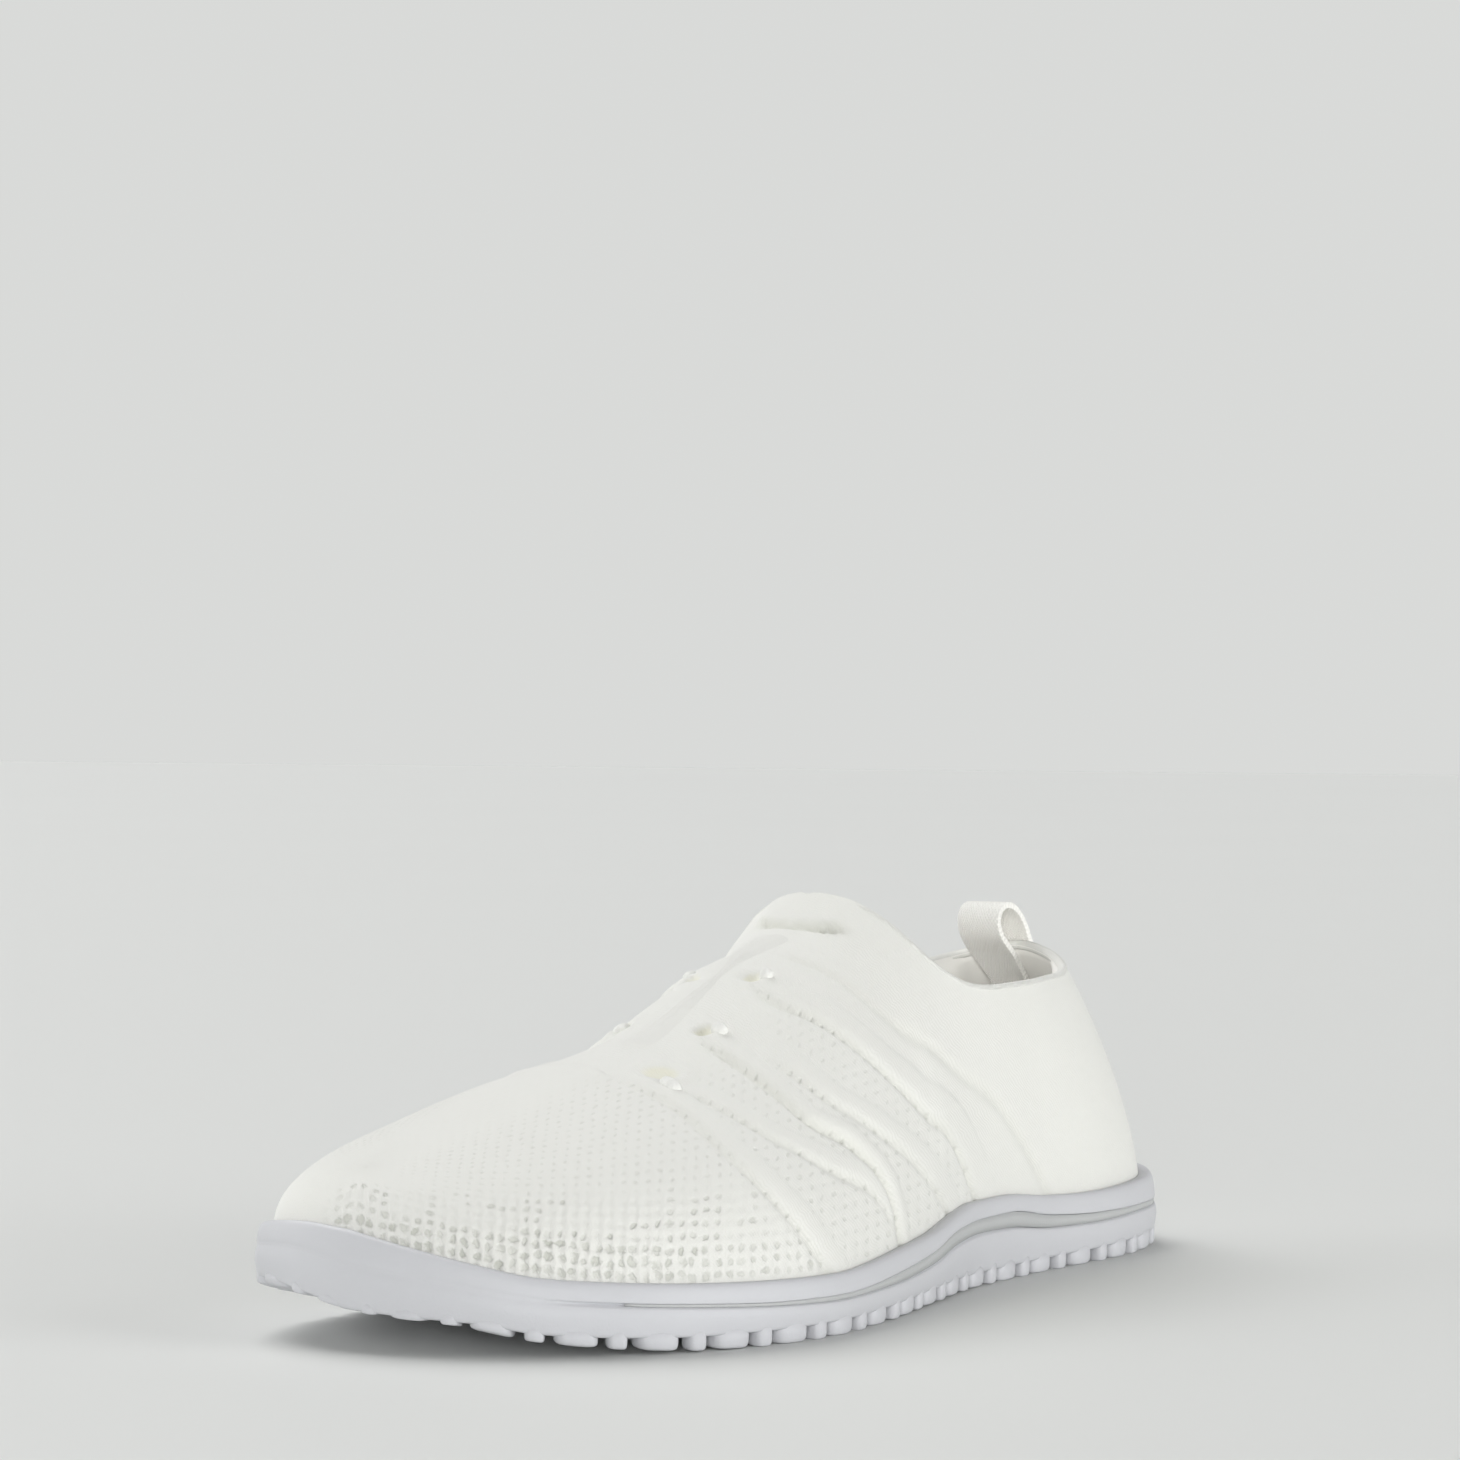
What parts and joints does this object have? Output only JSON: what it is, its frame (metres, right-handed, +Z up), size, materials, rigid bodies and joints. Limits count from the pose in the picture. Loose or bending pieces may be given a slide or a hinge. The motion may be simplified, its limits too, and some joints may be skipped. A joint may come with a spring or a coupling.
{
  "type": "low shoe",
  "caption": "Low knitted shoe: hollow bootie upper with ribs running to the eyelets, instep panel, heel pull loop and a flexible cup sole with tread nubs.",
  "frame": {"origin": "on the floor under the middle of the shoe's length and width", "axes": "+Z up, toe towards -Y, outer side of the foot towards +X"},
  "size_m": [0.101, 0.265, 0.0794],
  "materials": {
    "sole": "satin",
    "stripe": "matte",
    "insole": "matte",
    "knit": "matte",
    "lace": "matte",
    "webbing": "matte"
  },
  "bodies": {
    "root": {"sole": "sole", "sole_stripe": "stripe", "insole": "insole", "upper": "knit", "instep_panel": "knit", "lace_outer_1": "lace", "lace_outer_2": "lace", "lace_outer_3": "lace", "lace_inner_1": "lace", "lace_inner_2": "lace", "lace_inner_3": "lace", "pull_loop": "webbing"}
  },
  "joints": []
}
